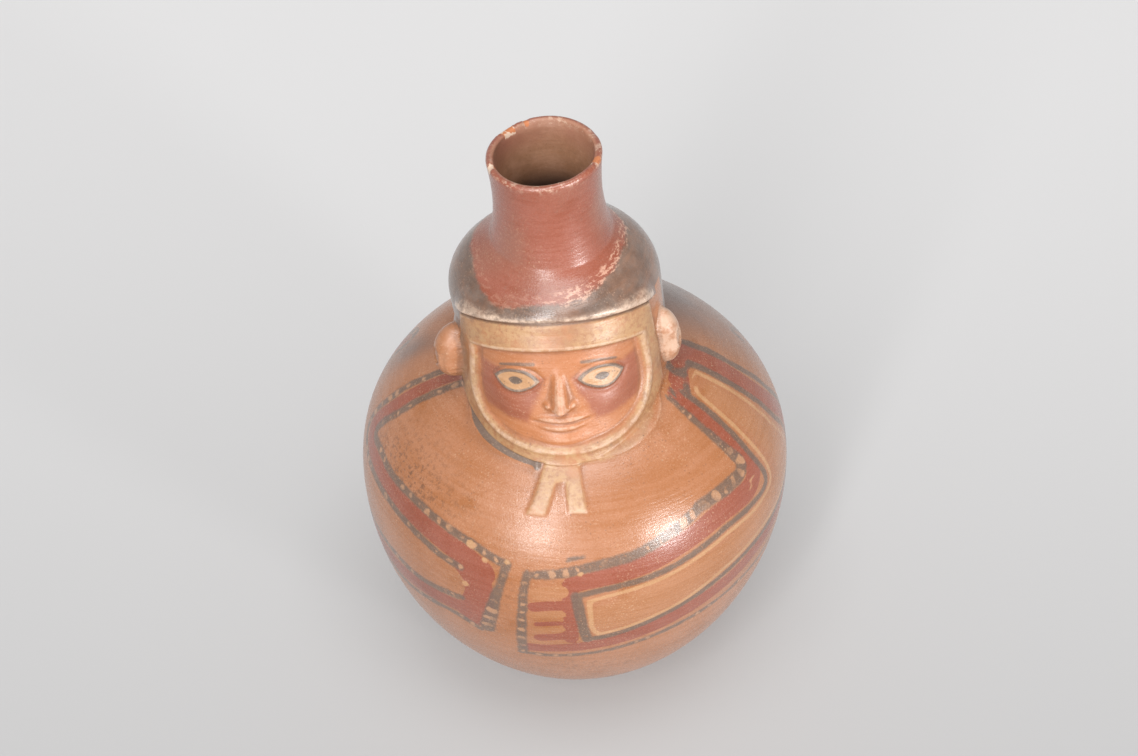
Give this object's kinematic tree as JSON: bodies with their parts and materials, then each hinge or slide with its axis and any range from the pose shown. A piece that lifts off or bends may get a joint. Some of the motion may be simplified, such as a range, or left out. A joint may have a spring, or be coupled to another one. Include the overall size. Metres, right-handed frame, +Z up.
{
  "type": "effigy vessel",
  "caption": "Hollow round pottery jar modelled as a figure, with a face framed by a cloth band, lug ears, a domed cap and an open spout.",
  "frame": {"origin": "centre of the flat foot, on the surface the jar stands on", "axes": "+Z up to the spout, -Y the way the face looks, +X to the right of someone facing it"},
  "size_m": [0.1912, 0.1916, 0.2757],
  "materials": {
    "slipped_clay": "burnished clay slip, satin"
  },
  "bodies": {
    "root": {"effigy_vessel": "slipped_clay"}
  },
  "joints": []
}
